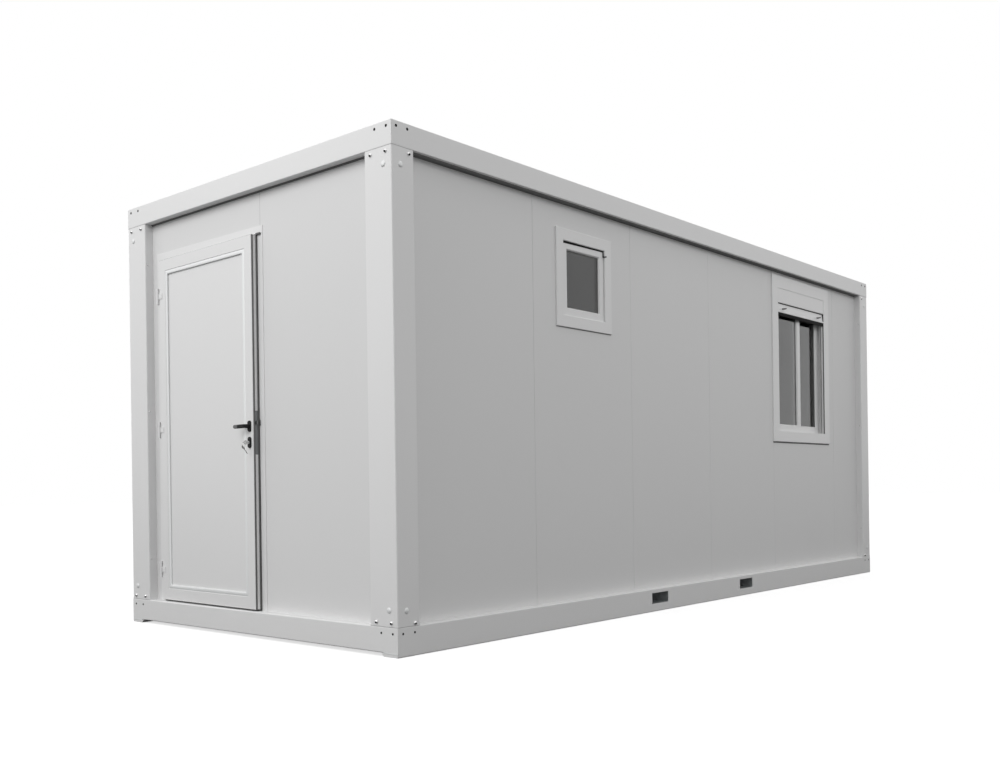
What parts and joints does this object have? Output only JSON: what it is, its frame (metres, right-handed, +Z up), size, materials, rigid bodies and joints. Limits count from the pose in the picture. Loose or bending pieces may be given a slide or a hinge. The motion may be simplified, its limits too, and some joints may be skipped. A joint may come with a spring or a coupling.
{
  "type": "portable site cabin",
  "caption": "Flat-roofed portable site cabin: folded steel rings and corner posts, sandwich panel walls, an end door that swings out, a small window and a shuttered sliding window.",
  "frame": {"origin": "on the ground under the middle of the cabin's footprint", "axes": "+X along the length, away from the door end; +Y across, away from the window wall; +Z up"},
  "size_m": [6.0853, 2.435, 2.65],
  "materials": {
    "ring_white": "smooth white powder coat, semi-gloss",
    "panel_white": "fine stucco-embossed coated steel, satin",
    "galvanised": "galvanised steel, dull spangle",
    "pvc_white": "white PVC, semi-gloss",
    "window_glass": "clear double glazing",
    "door_white": "white coated aluminium, gloss",
    "floor_board": "sealed floor board",
    "ceiling_board": "white laminated board",
    "bare_aluminium": "ribbed threshold, brushed",
    "lock_steel": "brushed, dull",
    "lock_nickel": "satin nickel",
    "black_plastic": "black, fine grain"
  },
  "bodies": {
    "root": {"base_front_rail": "ring_white", "base_back_rail": "ring_white", "base_door_end_rail": "ring_white", "base_far_end_rail": "ring_white", "corner_feet": "ring_white", "post_front_door_end": "ring_white", "post_front_far_end": "ring_white", "post_back_door_end": "ring_white", "post_back_far_end": "ring_white", "roof_front_rail": "ring_white", "roof_back_rail": "ring_white", "roof_door_end_rail": "ring_white", "roof_far_end_rail": "ring_white", "front_panel_corner": "panel_white", "front_panel_small_window": "panel_white", "front_panel_middle_left": "panel_white", "front_panel_middle_right": "panel_white", "front_panel_wide_window": "panel_white", "front_panel_far": "panel_white", "back_panels": "panel_white", "far_end_panels": "panel_white", "door_end_panel": "panel_white", "door_end_strip": "panel_white", "door_head_panel": "panel_white", "fork_tunnels": "galvanised", "floor_joists": "galvanised", "belly_sheet": "galvanised", "roof_sheet": "galvanised", "roof_bows": "galvanised", "small_window_frame": "pvc_white", "small_window_sash": "pvc_white", "wide_window_frame": "pvc_white", "shutter_box": "pvc_white", "shutter_slat": "pvc_white", "shutter_guides": "pvc_white", "wide_window_front_sash": "pvc_white", "wide_window_rear_sash": "pvc_white", "small_window_glass": "window_glass", "wide_window_glass": "window_glass", "door_frame": "door_white", "hinge_frame_halves": "door_white", "floor_deck": "floor_board", "ceiling": "ceiling_board", "door_threshold": "bare_aluminium"},
    "door": {"leaf_profile": "door_white", "leaf_infill": "door_white", "hinge_leaf_halves": "door_white", "lock_faceplate": "lock_steel", "lock_cylinder": "lock_nickel", "lock_roses": "black_plastic"},
    "handle": {"lever_handles": "black_plastic"},
    "latch": {"latch_bolt": "lock_steel"}
  },
  "joints": [
    {"name": "door_swing", "type": "hinge", "parent": "root", "child": "door", "pos_m": [-3.0025, 0.924, 1.219], "axis": [0, 0, -1], "range_deg": [-1.1, 103.9]},
    {"name": "handle_turn", "type": "hinge", "parent": "door", "child": "handle", "pos_m": [-2.99329, -0.02885, 1.197], "axis": [-0.9998, 0.0192, 0], "range_deg": [0, 40], "stiffness_Nm_per_rad": 1.5, "springref_deg": -34.38},
    {"name": "latch_slide", "type": "slide", "parent": "door", "child": "latch", "axis": [0.0192, 0.9998, 0], "range_m": [0, 0.011]}
  ],
  "couplings": [
    {"joint": "latch_slide", "follows": "handle_turn", "m_per_rad": 0.0155}
  ]
}
